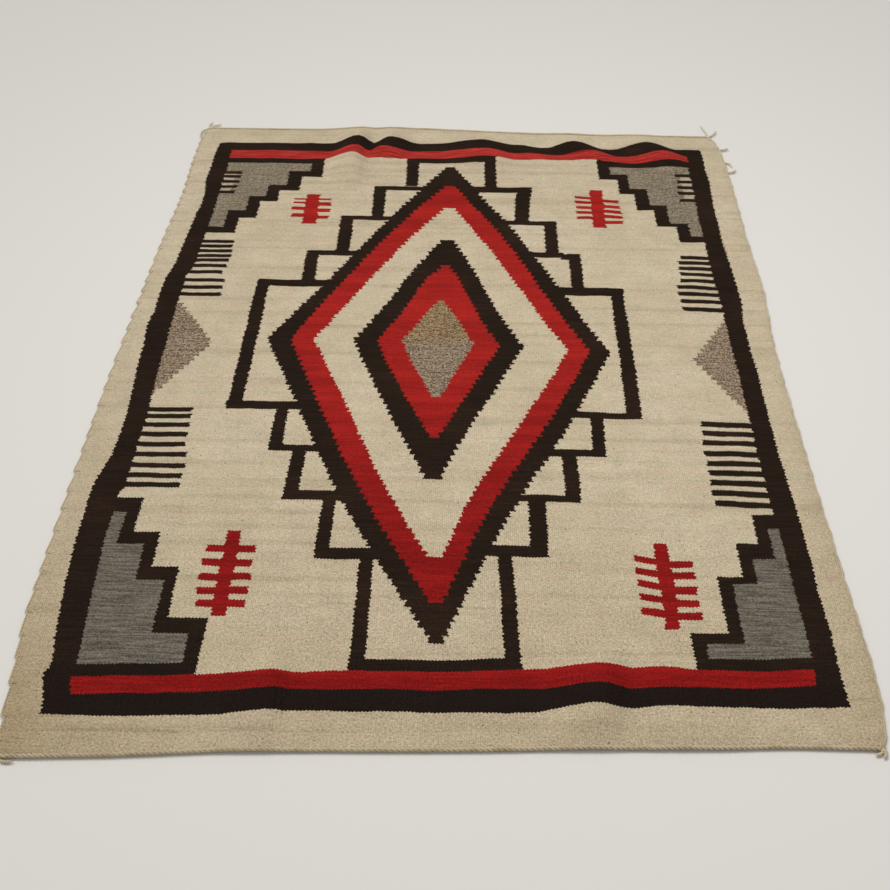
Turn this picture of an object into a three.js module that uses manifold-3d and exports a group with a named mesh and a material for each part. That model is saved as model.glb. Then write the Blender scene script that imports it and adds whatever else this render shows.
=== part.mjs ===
// A handwoven wool rug lying flat on a floor, with shallow folds at both of its ends.
// Millimetres, +Z up. X runs across the rug and Y along it. The origin is on the floor,
// under the middle of the rug, and the end with the larger folds is the far one, at +Y.
import * as THREE from "three";
import { mergeVertices } from "three/addons/utils/BufferGeometryUtils.js";
import Module from "manifold-3d";

// Driving sizes
const clothThickness = 3;
const sideCordRadius = 2.4;
const endCordRadius = 2.9;
const seamGap = 0.4;
const slopeReach = 8;
const cordSides = 8;
const knotSides = 10;
const knotRings = 6;
const mergeDistance = 1e-4;
const shortestStep = 1;
const knotRadius = 4;
const knotShift = 0.8;
const strandWidth = 2.4;
const strandHeight = 2.2;
const stepsPerBend = 4;

// Outer silhouette of the rug, cords included, as it lies: x of the long sides by y
const leftSide = [
  { y: -822, x: -590 },
  { y: -800, x: -598 },
  { y: -743, x: -605 },
  { y: -670, x: -611 },
  { y: -600, x: -619 },
  { y: -300, x: -621 },
  { y: 0, x: -618 },
  { y: 150, x: -614 },
  { y: 320, x: -609 },
  { y: 400, x: -605 },
  { y: 540, x: -598 },
  { y: 670, x: -600 },
  { y: 770, x: -597 },
  { y: 820, x: -588 },
];
const rightSide = [
  { y: -790, x: 584 },
  { y: -760, x: 592 },
  { y: -690, x: 606 },
  { y: -620, x: 605 },
  { y: -500, x: 602 },
  { y: -300, x: 598 },
  { y: -40, x: 596 },
  { y: 60, x: 597 },
  { y: 220, x: 608 },
  { y: 400, x: 604 },
  { y: 500, x: 605 },
  { y: 640, x: 606 },
  { y: 740, x: 602 },
  { y: 782, x: 596 },
  { y: 806, x: 579 },
];
// y of the two ends by x
const nearEnd = [
  { x: -600, y: -823 },
  { x: -453, y: -818 },
  { x: -303, y: -808 },
  { x: -187, y: -805 },
  { x: -60, y: -803 },
  { x: 60, y: -800 },
  { x: 193, y: -795 },
  { x: 390, y: -791 },
  { x: 477, y: -787 },
  { x: 600, y: -788 },
];
const farEnd = [
  { x: -600, y: 819 },
  { x: -330, y: 819 },
  { x: -290, y: 823 },
  { x: -220, y: 827 },
  { x: -60, y: 827 },
  { x: 60, y: 814 },
  { x: 140, y: 812 },
  { x: 290, y: 807 },
  { x: 420, y: 804 },
  { x: 600, y: 803 },
];

// Folds: the crest's x at two stations along the rug, its width on each side and its height.
// Between the stations a crest drifts sideways, past "hold" it runs straight on, and the fold
// dies out at the end of the rug and at "endY".
const farStations = { edge: 760, band: 716, hold: 686 };
const farFolds = [
  { x: -229, bandX: -235, left: 62, right: 35, height: 21, endY: 520 },
  { x: -155, bandX: -170, left: 38, right: 64, height: 18, endY: 672 },
  { x: 55, bandX: 60, left: 100, right: 72, height: 13, endY: 630 },
  { x: 142, bandX: 189, left: 46, right: 44, height: 9, endY: 662 },
  { x: 260, bandX: 303, left: 66, right: 64, height: 15, endY: 668 },
  { x: 422, bandX: 463, left: 82, right: 68, height: 18, endY: 630 },
];
const nearStations = { edge: -738, band: -690, hold: -660 };
const nearFolds = [
  { x: -243, bandX: -240, left: 88, right: 26, height: 11, endY: -610 },
  { x: 207, bandX: 214, left: 84, right: 48, height: 16, endY: -600 },
  { x: 300, bandX: 304, left: 42, right: 130, height: 7, endY: -620 },
];
const liftAtEnd = 0.12;
const endRise = 50;
const crestSharpness = 1.6;

// Grid of the cloth: zones of equal columns and rows, finer where it folds
const halfWidthForZones = 600;
const columnZones = [
  { from: -600, to: -290, count: 8 },
  { from: -290, to: -110, count: 12 },
  { from: -110, to: 130, count: 7 },
  { from: 130, to: 500, count: 17 },
  { from: 500, to: 600, count: 3 },
];
const rowZones = [
  { from: 0, to: 0.15, count: 10 },
  { from: 0.15, to: 0.82, count: 8 },
  { from: 0.82, to: 1, count: 15 },
];

// Loose ends of the edge cords, knotted at the corners. Each row is one strand: the points
// that it bends through and stops at, from the knot.
const cordEnds = {
  farRight: [
    [{ x: -4, y: 25 }, { x: -11, y: 50 }],
    [{ x: 12, y: 12 }, { x: 22, y: 28 }],
  ],
  farLeft: [
    [{ x: -2, y: 15 }, { x: 3, y: 29 }],
    [{ x: 11, y: 13 }, { x: 24, y: 20 }],
    [{ x: -14, y: -11 }, { x: -16, y: -29 }, { x: -11, y: -45 }],
  ],
  nearRight: [
    [{ x: -10, y: -11 }, { x: -22, y: -12 }],
    [{ x: 6, y: -10 }, { x: 2, y: -21 }],
  ],
  nearLeft: [
    [{ x: -11, y: -6 }, { x: -13, y: -18 }],
    [{ x: 9, y: -10 }, { x: 21, y: -13 }],
  ],
};
// Broken plies of the right side cord near the far end: where each leaves the cord, and its
// points from there
const sideStrays = [
  { y: 744, points: [{ x: 13, y: 2 }, { x: 22, y: 8 }] },
  { y: 690, points: [{ x: 12, y: -4 }, { x: 14, y: -16 }] },
  { y: 648, points: [{ x: 12, y: 3 }, { x: 21, y: 11 }] },
];

const creamWool = new THREE.MeshStandardMaterial({ color: 0xc3b296, roughness: 0.95, metalness: 0 });
const creamCord = new THREE.MeshStandardMaterial({ color: 0xb9a88a, roughness: 0.95, metalness: 0 });
const cordEndWool = new THREE.MeshStandardMaterial({ color: 0xcfc0a2, roughness: 0.95, metalness: 0 });

const wasm = await Module();
wasm.setup();

// Reads a table of rows: the value of one column where another column has the value "at"
function readTable(table, key, value, at) {
  const last = table.length - 1;
  if (at <= table[0][key]) return table[0][value];
  if (at >= table[last][key]) return table[last][value];
  const next = table.findIndex((row) => row[key] >= at);
  const low = table[next - 1];
  const high = table[next];
  const share = (at - low[key]) / (high[key] - low[key]);
  return low[value] + (high[value] - low[value]) * share;
}

// The table's line moved square to itself by "inward"
function insetLine(table, key, value, at, inward) {
  const ahead = readTable(table, key, value, at + slopeReach);
  const behind = readTable(table, key, value, at - slopeReach);
  const slope = (ahead - behind) / (2 * slopeReach);
  return readTable(table, key, value, at) + inward * Math.hypot(1, slope);
}

function clamp(value, one, other) {
  return Math.min(Math.max(value, Math.min(one, other)), Math.max(one, other));
}

function smooth(share) {
  const t = clamp(share, 0, 1);
  return t * t * (3 - 2 * t);
}

// Height of one fold over (x, y)
function oneFold(fold, stations, x, y) {
  const drift = (fold.bandX - fold.x) / (stations.band - stations.edge);
  const crest = fold.x + drift * (clamp(y, stations.hold, stations.edge) - stations.edge);
  const side = (x - crest) / (x < crest ? fold.left : fold.right);
  if (Math.abs(side) >= 1) return 0;
  const across = Math.cos((Math.PI / 2) * side) ** crestSharpness;
  const along = smooth((y - fold.endY) / (stations.band - fold.endY));
  return fold.height * across * along;
}

// Height of the cloth's underside over the floor
function foldHeight(x, y) {
  const far = readTable(farEnd, "x", "y", x);
  const near = readTable(nearEnd, "x", "y", x);
  const farShare = liftAtEnd + (1 - liftAtEnd) * smooth((far - y) / endRise);
  const nearShare = liftAtEnd + (1 - liftAtEnd) * smooth((y - near) / endRise);
  let height = 0;
  for (const fold of farFolds) height += farShare * oneFold(fold, farStations, x, y);
  for (const fold of nearFolds) height += nearShare * oneFold(fold, nearStations, x, y);
  return height;
}

function zoneStops(zones) {
  const stops = [zones[0].from];
  for (const zone of zones) {
    for (let step = 1; step <= zone.count; step += 1) {
      stops.push(zone.from + ((zone.to - zone.from) * step) / zone.count);
    }
  }
  return stops;
}
const columnStops = zoneStops(columnZones).map((x) => (x + halfWidthForZones) / (2 * halfWidthForZones));
const rowStops = zoneStops(rowZones);

// Point of the rug at a share of its width and of its length, inside an inset outline
function rugPoint(across, along, sideInset, endInset) {
  const guideX = (2 * across - 1) * halfWidthForZones;
  const nearY = insetLine(nearEnd, "x", "y", guideX, endInset);
  const farY = insetLine(farEnd, "x", "y", guideX, -endInset);
  const y = nearY + (farY - nearY) * along;
  const leftX = insetLine(leftSide, "y", "x", y, sideInset);
  const rightX = insetLine(rightSide, "y", "x", y, -sideInset);
  return new THREE.Vector2(leftX + (rightX - leftX) * across, y);
}

function closedGeometry(geometry) {
  geometry.deleteAttribute("normal");
  geometry.deleteAttribute("uv");
  const closed = mergeVertices(geometry, mergeDistance);
  closed.computeVertexNormals();
  return closed;
}

// The cloth: a box of many cells, whose points are laid on the rug's outline and folds
function clothGeometry() {
  const box = new THREE.BoxGeometry(2, 2, 2, columnStops.length - 1, rowStops.length - 1, 1);
  const place = box.attributes.position;
  const sideInset = 2 * sideCordRadius + seamGap;
  const endInset = 2 * endCordRadius + seamGap;
  for (let index = 0; index < place.count; index += 1) {
    const column = Math.round(((place.getX(index) + 1) / 2) * (columnStops.length - 1));
    const row = Math.round(((place.getY(index) + 1) / 2) * (rowStops.length - 1));
    const spot = rugPoint(columnStops[column], rowStops[row], sideInset, endInset);
    const top = place.getZ(index) > 0 ? clothThickness : 0;
    place.setXYZ(index, spot.x, spot.y, foldHeight(spot.x, spot.y) + top);
  }
  return closedGeometry(box);
}

// A cord: a cylinder whose rings are laid on the points of its route, which run one way
function cordGeometry(route, radius, runsAlong) {
  const cylinder = new THREE.CylinderGeometry(1, 1, 2, cordSides, route.length - 1);
  cylinder.rotateY(Math.PI / cordSides);
  const place = cylinder.attributes.position;
  const across = new THREE.Vector3(runsAlong.y, -runsAlong.x, 0);
  for (let index = 0; index < place.count; index += 1) {
    const ring = Math.round(((place.getY(index) + 1) / 2) * (route.length - 1));
    const spot = route[ring].clone().addScaledVector(across, place.getX(index) * radius);
    place.setXYZ(index, spot.x, spot.y, spot.z + place.getZ(index) * radius);
  }
  return closedGeometry(cylinder);
}

function cordHeight(x, y, radius) {
  return foldHeight(x, y) + radius * Math.cos(Math.PI / cordSides);
}

// Route of a side cord, ring by ring beside the rows of the cloth, between two corner knots
function sideRoute(across, lowStop, highStop) {
  const points = [];
  for (const along of rowStops) {
    const spot = rugPoint(across, along, sideCordRadius, 2 * endCordRadius + seamGap);
    const y = clamp(spot.y, lowStop, highStop);
    points.push(new THREE.Vector3(spot.x, y, cordHeight(spot.x, y, sideCordRadius)));
  }
  return points.filter((point, index) => index === 0 || point.y - points[index - 1].y > shortestStep);
}

function endRoute(along, lowStop, highStop) {
  const points = [];
  for (const across of columnStops) {
    const spot = rugPoint(across, along, 2 * sideCordRadius + seamGap, endCordRadius);
    const x = clamp(spot.x, lowStop, highStop);
    points.push(new THREE.Vector3(x, spot.y, cordHeight(x, spot.y, endCordRadius)));
  }
  return points.filter((point, index) => index === 0 || point.x - points[index - 1].x > shortestStep);
}

function toManifold(geometry) {
  const closed = closedGeometry(geometry);
  const mesh = new wasm.Mesh({
    numProp: 3,
    vertProperties: new Float32Array(closed.attributes.position.array),
    triVerts: new Uint32Array(closed.index.array),
  });
  return new wasm.Manifold(mesh);
}

function fromManifold(manifold) {
  const mesh = manifold.getMesh();
  const geometry = new THREE.BufferGeometry();
  geometry.setAttribute("position", new THREE.BufferAttribute(mesh.vertProperties, 3));
  geometry.setIndex(new THREE.BufferAttribute(mesh.triVerts, 1));
  geometry.computeVertexNormals();
  return geometry;
}

// A strand of four sides that lies level on the floor, from a root along a curve
function strandGeometry(root, points) {
  const bends = points.map((point) => new THREE.Vector2(root.x + point.x, root.y + point.y));
  const curve = new THREE.SplineCurve([new THREE.Vector2(root.x, root.y), ...bends]);
  const steps = stepsPerBend * points.length;
  const leftRim = [];
  const rightRim = [];
  for (let step = 0; step <= steps; step += 1) {
    const spot = curve.getPoint(step / steps);
    const ahead = curve.getTangent(step / steps);
    const square = new THREE.Vector2(-ahead.y, ahead.x).multiplyScalar(strandWidth / 2);
    leftRim.push(spot.clone().add(square));
    rightRim.unshift(spot.clone().sub(square));
  }
  const outline = new THREE.Shape([...leftRim, ...rightRim]);
  return new THREE.ExtrudeGeometry(outline, { depth: strandHeight, bevelEnabled: false });
}

function knotWithStrands(knot, strands) {
  const head = new THREE.SphereGeometry(knotRadius, knotSides, knotRings);
  head.rotateX(Math.PI / 2);
  head.translate(knot.x, knot.y, knotRadius);
  let joined = toManifold(head);
  for (const points of strands) {
    joined = joined.add(toManifold(strandGeometry(knot, points)));
  }
  return fromManifold(joined);
}

function addMesh(group, name, geometry, material) {
  const mesh = new THREE.Mesh(geometry, material);
  mesh.name = name;
  group.add(mesh);
}

const rug = new THREE.Group();
addMesh(rug, "rug_cloth", clothGeometry(), creamWool);

// The knots are a little outside the four corners where the cords' centre lines meet
function corner(across, along) {
  return rugPoint(across, along, sideCordRadius - knotShift, endCordRadius - knotShift);
}
const knots = {
  farRight: corner(1, 1),
  farLeft: corner(0, 1),
  nearRight: corner(1, 0),
  nearLeft: corner(0, 0),
};

// The cords stop short of the knots
const stopShort = knotRadius + seamGap;
const leftRoute = sideRoute(0, knots.nearLeft.y + stopShort, knots.farLeft.y - stopShort);
const rightRoute = sideRoute(1, knots.nearRight.y + stopShort, knots.farRight.y - stopShort);
const nearRoute = endRoute(0, knots.nearLeft.x + stopShort, knots.nearRight.x - stopShort);
const farRoute = endRoute(1, knots.farLeft.x + stopShort, knots.farRight.x - stopShort);
const alongY = new THREE.Vector2(0, 1);
const alongX = new THREE.Vector2(1, 0);

addMesh(rug, "side_cord_left", cordGeometry(leftRoute, sideCordRadius, alongY), creamCord);
let rightCord = toManifold(cordGeometry(rightRoute, sideCordRadius, alongY));
for (const stray of sideStrays) {
  const root = { x: insetLine(rightSide, "y", "x", stray.y, -sideCordRadius), y: stray.y };
  rightCord = rightCord.add(toManifold(strandGeometry(root, stray.points)));
}
addMesh(rug, "side_cord_right", fromManifold(rightCord), creamCord);
addMesh(rug, "end_cord_near", cordGeometry(nearRoute, endCordRadius, alongX), creamCord);
addMesh(rug, "end_cord_far", cordGeometry(farRoute, endCordRadius, alongX), creamCord);

addMesh(rug, "cord_ends_far_right", knotWithStrands(knots.farRight, cordEnds.farRight), cordEndWool);
addMesh(rug, "cord_ends_far_left", knotWithStrands(knots.farLeft, cordEnds.farLeft), cordEndWool);
addMesh(rug, "cord_ends_near_right", knotWithStrands(knots.nearRight, cordEnds.nearRight), cordEndWool);
addMesh(rug, "cord_ends_near_left", knotWithStrands(knots.nearLeft, cordEnds.nearLeft), cordEndWool);

export default rug;
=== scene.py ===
import math

import bpy
import numpy as np
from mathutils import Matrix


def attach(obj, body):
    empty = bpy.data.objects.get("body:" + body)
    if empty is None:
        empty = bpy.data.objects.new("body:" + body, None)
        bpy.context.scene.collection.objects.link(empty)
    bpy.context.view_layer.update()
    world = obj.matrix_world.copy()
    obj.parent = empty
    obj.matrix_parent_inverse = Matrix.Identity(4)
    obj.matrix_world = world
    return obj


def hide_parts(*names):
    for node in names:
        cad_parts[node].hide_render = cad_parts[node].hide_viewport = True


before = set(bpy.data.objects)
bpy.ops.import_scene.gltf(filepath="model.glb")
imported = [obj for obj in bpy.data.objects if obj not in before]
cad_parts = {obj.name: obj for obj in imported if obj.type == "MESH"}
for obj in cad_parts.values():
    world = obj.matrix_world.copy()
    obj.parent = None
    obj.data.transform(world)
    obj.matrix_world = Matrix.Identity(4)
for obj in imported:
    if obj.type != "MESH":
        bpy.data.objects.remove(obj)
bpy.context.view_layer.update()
print("frame loaded:", ", ".join(sorted(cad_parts)))

mm = 0.001  # sizes below are in millimetres, and Blender's own unit is the metre


# How the rug lies. X runs across it, Y along it, and the far end is at +Y.
rug = {
    "halfWidth": 600,
    "leftSide": [  # y, x of the silhouette
        (-822, -590), (-800, -598), (-743, -605), (-670, -611), (-600, -619), (-300, -621), (0, -618),
        (150, -614), (320, -609), (400, -605), (540, -598), (670, -600), (770, -597), (820, -588),
    ],
    "rightSide": [
        (-790, 587), (-764, 596), (-743, 600), (-690, 605), (-620, 605), (-500, 602), (-300, 598),
        (-40, 596), (60, 597), (220, 608), (400, 604), (500, 605), (640, 606), (740, 602), (782, 596),
        (806, 579),
    ],
    "nearEnd": [  # x, y of the silhouette
        (-600, -823), (-453, -818), (-303, -808), (-187, -805), (-60, -803), (60, -800), (193, -795),
        (390, -791), (477, -787), (600, -788),
    ],
    "farEnd": [
        (-600, 819), (-330, 819), (-290, 823), (-220, 827), (-60, 827), (60, 814), (140, 812),
        (290, 807), (420, 804), (600, 803),
    ],
    "cornerReach": 16,  # the outline's corners are rounded over this much
    "slopeStep": 8,  # a slope of the outline is read over this much to each side
    "sideCord": 4.8,
    "endCord": 5.8,
    "seamGap": 0.4,
    "thickness": 3,
    # crest x at the two stations, width to each side, height, and the y where the fold dies out
    "farStations": (760, 716, 686),
    "farFolds": [
        (-227, -232, 62, 35, 21, 520),
        (-155, -170, 38, 64, 18, 672),
        (55, 60, 100, 72, 13, 630),
        (130, 170, 46, 44, 2.5, 662),
        (256, 297, 64, 62, 16, 668),
        (416, 454, 80, 68, 18, 630),
    ],
    "nearStations": (-738, -690, -660),
    "nearFolds": [
        (-243, -240, 88, 26, 11, -610),
        (207, 214, 84, 48, 16, -600),
        (300, 304, 42, 130, 7, -620),
    ],
    "liftAtEnd": 0.12,
    "endRise": 50,
    "crestSharpness": 1.6,
    "swell": [  # small waves all over: length across, length along, turn of phase, height
        (310, 420, 0.4, 0.5), (170, -260, 2.1, 0.4), (96, 150, 4.4, 0.3), (-64, 88, 1.2, 0.18),
        (48, -61, 3.3, 0.12),
    ],
    "scallopFrom": 600,
    "scallopPitch": 41,
    "crowdedFrom": 100,  # from here the stitches stand closer towards the far end
    "scallopCrowding": 1.1e-5,
    "scallopSway": [(0.12, 57), (0.1, 23)],  # uneven pitch: share of a stitch, length
    "scallopBulge": {"share": 0.95, "roundness": 0.85},
    "scallopDepth": 7.5,
    "depthGrowth": {"near": 0.7, "far": 1.1, "from": -300, "to": 400},
    "depthUneven": (0.18, 71),  # share of the depth, length
    "scallopReach": 2.4,  # how much of the depth stands outside the outline
    "rightRipple": {"tall": 0.7, "length": 9.5, "sway": 1.4, "swayLength": 41},
    "fineRipple": {"tall": 0.5, "length": 4.1},
}


def readTable(table, at):
    keys, values = zip(*table)
    reach = rug["cornerReach"]
    spread = [np.interp(at + shift, keys, values) for shift in np.linspace(-reach, reach, 7)]
    return sum(spread) / len(spread)


def insetLine(table, at, inward):
    step = rug["slopeStep"]
    slope = (readTable(table, at + step) - readTable(table, at - step)) / (2 * step)
    return readTable(table, at) + inward * np.hypot(1, slope)


def smooth(share):
    held = np.clip(share, 0, 1)
    return held * held * (3 - 2 * held)


def foldHeight(x, y):  # height of the cloth's underside
    ends = [
        (rug["farFolds"], rug["farStations"], readTable(rug["farEnd"], x) - y),
        (rug["nearFolds"], rug["nearStations"], y - readTable(rug["nearEnd"], x)),
    ]
    height = 0 * x
    for folds, (edge, band, hold), toEnd in ends:
        share = rug["liftAtEnd"] + (1 - rug["liftAtEnd"]) * smooth(toEnd / rug["endRise"])
        for crestX, bandX, left, right, tall, endY in folds:
            drift = (bandX - crestX) / (band - edge)
            crest = crestX + drift * (np.clip(y, min(edge, hold), max(edge, hold)) - edge)
            side = np.clip((x - crest) / np.where(x < crest, left, right), -1, 1)
            across = np.maximum(np.cos(side * math.pi / 2), 0) ** rug["crestSharpness"]
            height = height + share * tall * across * smooth((y - endY) / (band - endY))
    return height


def swell(x, y):  # low waves of a cloth that isn't quite flat, never under the floor
    total = 0 * x
    for acrossLength, alongLength, phase, tall in rug["swell"]:
        wave = np.sin(2 * math.pi * (x / acrossLength + y / alongLength) + phase)
        total = total + tall * (0.5 + 0.5 * wave)
    return total


def scallopTurn(y, positive, sine):  # stitches of the left edge, counted for arrays or for a shader
    crowded = positive(y - rug["crowdedFrom"]) ** 2 * rug["scallopCrowding"]
    turn = (rug["scallopFrom"] - y) / rug["scallopPitch"] - crowded
    for share, length in rug["scallopSway"]:
        turn = turn + sine(y / length) * share
    return turn


def edgeTurn(y):
    return scallopTurn(y, lambda value: np.maximum(value, 0), np.sin)


def scallop(y):  # the left edge bulges towards its near end in each stitch of the edge cord
    turn = edgeTurn(y)
    share = turn - np.floor(turn)
    full = rug["scallopBulge"]["share"]
    rising = (share / full) ** rug["scallopBulge"]["roundness"]
    bulge = np.where(share < full, rising, (1 - share) / (1 - full))
    growth = rug["depthGrowth"]
    grown = smooth((y - growth["from"]) / (growth["to"] - growth["from"]))
    uneven, length = rug["depthUneven"]
    deep = rug["scallopDepth"] * (growth["near"] + (growth["far"] - growth["near"]) * grown)
    deep = deep * (1 - uneven + uneven * np.sin(y / length))
    return deep * (1 - np.clip(bulge, 0, 1)) - rug["scallopReach"]


def rightRipple(y):
    ripple, fine = rug["rightRipple"], rug["fineRipple"]
    sway = ripple["sway"] * np.sin(y / ripple["swayLength"])
    return ripple["tall"] * np.sin(y / ripple["length"] + sway) + fine["tall"] * np.sin(y / fine["length"])


def rugPoint(across, along, sideInset, endInset):  # a point at shares of the rug's width and length
    guideX = (2 * across - 1) * rug["halfWidth"]
    nearY = insetLine(rug["nearEnd"], guideX, endInset)
    farY = insetLine(rug["farEnd"], guideX, -endInset)
    y = nearY + (farY - nearY) * along
    leftX = insetLine(rug["leftSide"], y, sideInset) + scallop(y)
    rightX = insetLine(rug["rightSide"], y, -sideInset) + rightRipple(y)
    return leftX + (rightX - leftX) * across, y


# Shader and geometry trees. A number socket with Python's operators adds a Math node for each.
class Number:
    def __init__(self, recipe, socket):
        self.recipe = recipe
        self.socket = socket

    def made(self, kind, settings, inputs):
        return Number(self.recipe, self.recipe.node(kind, settings, inputs).outputs[0])

    def maths(self, operation, *others):
        return self.made("ShaderNodeMath", {"operation": operation}, dict(enumerate((self, *others))))

    def reflected(self, operation, other):
        return self.made("ShaderNodeMath", {"operation": operation}, {0: other, 1: self})

    def __add__(self, other):
        return self.maths("ADD", other)

    def __radd__(self, other):
        return self.maths("ADD", other)

    def __sub__(self, other):
        return self.maths("SUBTRACT", other)

    def __rsub__(self, other):
        return self.reflected("SUBTRACT", other)

    def __mul__(self, other):
        return self.maths("MULTIPLY", other)

    def __rmul__(self, other):
        return self.maths("MULTIPLY", other)

    def __truediv__(self, other):
        return self.maths("DIVIDE", other)

    def __rtruediv__(self, other):
        return self.reflected("DIVIDE", other)

    def __pow__(self, other):
        return self.maths("POWER", other)

    def __abs__(self):
        return self.maths("ABSOLUTE")

    def __lt__(self, other):
        return self.maths("LESS_THAN", other)

    def __gt__(self, other):
        return self.maths("GREATER_THAN", other)

    def floor(self):
        return self.maths("FLOOR")

    def zigzag(self):  # from 0 to 1 and back, once for each whole step
        return self.maths("PINGPONG", 0.5) * 2

    def times(self, factor, added):
        return self.maths("MULTIPLY_ADD", factor, added)

    def between(self, low, high):  # both are plain numbers
        return self.maths("COMPARE", (low + high) / 2, (high - low) / 2)

    def least(self, other):
        return self.maths("MINIMUM", other)

    def most(self, other):
        return self.maths("MAXIMUM", other)

    def sine(self):
        return self.maths("SINE")

    def pick(self, yes, no):  # where this is 1 or 0
        return self * (yes - no) + no

    def ramp(self, start, stop):  # a smooth step from 0 at start to 1 at stop
        inputs = {"Value": self, "From Min": start, "From Max": stop}
        return self.made("ShaderNodeMapRange", {"interpolation_type": "SMOOTHSTEP"}, inputs)

    def part(self, start, stop, amount):  # the same step, up to an amount
        return self.ramp(start, stop) * amount


class Recipe:
    def __init__(self, tree):
        self.tree = tree

    def node(self, kind, settings=None, inputs=None):
        made = self.tree.nodes.new(kind)
        for name, value in (settings or {}).items():
            if name == "points":
                self.shapeCurve(made, value)
            else:
                setattr(made, name, value)
        for name, value in (inputs or {}).items():
            value = value.socket if isinstance(value, Number) else value
            if isinstance(value, bpy.types.NodeSocket):
                self.tree.links.new(value, made.inputs[name])
            else:
                made.inputs[name].default_value = value
        return made

    def shapeCurve(self, made, points):
        curve = made.mapping.curves[0]
        curve.points[0].location = points[0]
        curve.points[1].location = points[-1]
        for point in points[1:-1]:
            curve.points.new(*point)
        made.mapping.update()

    def line(self, table, at):  # a value that follows a table of (place, value) pairs
        rows = sorted(table)
        places = [row[0] for row in rows]
        values = [row[1] for row in rows]
        low, tall = min(values), max(values) - min(values) + 1e-3
        long = places[-1] - places[0]
        points = [((place - places[0]) / long, (value - low) / tall) for place, value in rows]
        share = (at - places[0]) / long
        curve = self.node("ShaderNodeFloatCurve", {"points": points}, {"Value": share})
        return Number(self, curve.outputs[0]) * tall + low

    def vector(self, x, y, z=0.0):
        return self.node("ShaderNodeCombineXYZ", None, {0: x, 1: y, 2: z}).outputs[0]

    def seeded(self, x, y, seed):  # each seed reads another stretch of a noise
        return self.vector(x + seed * 7.7, y + seed * 3.1)

    def noise(self, x, y, detail, seed):
        settings = {"noise_dimensions": "2D"}
        inputs = {"Vector": self.seeded(x, y, seed), "Scale": 1.0, "Detail": detail, "Roughness": 0.55}
        return Number(self, self.node("ShaderNodeTexNoise", settings, inputs).outputs[0])

    def dots(self, x, y, seed):  # distance to scattered points, about one for each unit square
        settings = {"voronoi_dimensions": "2D"}
        inputs = {"Vector": self.seeded(x, y, seed), "Scale": 1.0}
        return Number(self, self.node("ShaderNodeTexVoronoi", settings, inputs).outputs["Distance"])

    def chance(self, number):  # a random number for each whole step
        made = self.node("ShaderNodeTexWhiteNoise", {"noise_dimensions": "1D"}, {"W": number})
        return Number(self, made.outputs["Value"])

    def mix(self, share, one, other, blend="MIX"):
        settings = {"data_type": "RGBA", "blend_type": blend}
        return self.node("ShaderNodeMix", settings, {0: share, 6: one, 7: other}).outputs[2]

    def tint(self, colour, brightness):  # a colour times a number
        grey = self.vector(brightness, brightness, brightness)
        return self.mix(1.0, colour, grey, "MULTIPLY")


def paint(red, green, blue):  # a colour as it shows on a screen, 0 to 255
    shown = [value / 255 for value in (red, green, blue)]
    return (*[v / 12.92 if v < 0.04045 else ((v + 0.055) / 1.055) ** 2.4 for v in shown], 1.0)


def newMaterial(name):
    material = bpy.data.materials.new(name)
    material.use_nodes = True
    material.node_tree.nodes.clear()
    return material, Recipe(material.node_tree)


def finishMaterial(recipe, colour, height, depth, roughness=0.95):
    bump = recipe.node("ShaderNodeBump", None, {"Strength": 1.0, "Distance": depth, "Height": height})
    shader = recipe.node("ShaderNodeBsdfPrincipled", None, {
        "Base Color": colour, "Roughness": roughness, "Specular IOR Level": 0.03, "Normal": bump.outputs[0],
    })
    recipe.node("ShaderNodeOutputMaterial", None, {"Surface": shader.outputs[0]})


# Camera and light
view = {
    "place": (18.6, -1569.8, 1348.6),
    "pitchDown": 45.0,
    "turnLeft": 1.188,
    "lens": 45.506,
    "sensor": 36.0,
    "world": 0.46,
    "worldColour": (1.0, 0.985, 0.96, 1.0),
    "sun": 1.25,
    "sunFrom": (-0.62, 0.5, 0.95),
    "sunSoftness": 22,
    "lamp": 11.0,
    "lampPlace": (0.12, 0.1, 1.9),
    "lampSize": 0.9,
    "floorReach": 60.0,
    "floorColour": paint(222, 219, 213),
    "floorRoughness": 0.8,
}


def makeCamera():
    data = bpy.data.cameras.new("camera")
    data.lens = view["lens"]
    data.sensor_width = view["sensor"]
    camera = bpy.data.objects.new("camera", data)
    camera.location = [value * mm for value in view["place"]]
    camera.rotation_euler = (math.radians(90 - view["pitchDown"]), 0, math.radians(view["turnLeft"]))
    bpy.context.collection.objects.link(camera)
    bpy.context.scene.camera = camera


def makeLights():
    sun = bpy.data.lights.new("windowLight", "SUN")
    sun.energy = view["sun"]
    sun.angle = math.radians(view["sunSoftness"])
    x, y, z = view["sunFrom"]
    light = bpy.data.objects.new("windowLight", sun)
    light.rotation_euler = (math.atan2(math.hypot(x, y), z), 0, math.atan2(y, x) + math.pi / 2)
    bpy.context.collection.objects.link(light)
    lamp = bpy.data.lights.new("softLamp", "AREA")
    lamp.shape = "DISK"
    lamp.size = view["lampSize"]
    lamp.energy = view["lamp"]
    light = bpy.data.objects.new("softLamp", lamp)
    light.location = view["lampPlace"]
    bpy.context.collection.objects.link(light)


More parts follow.
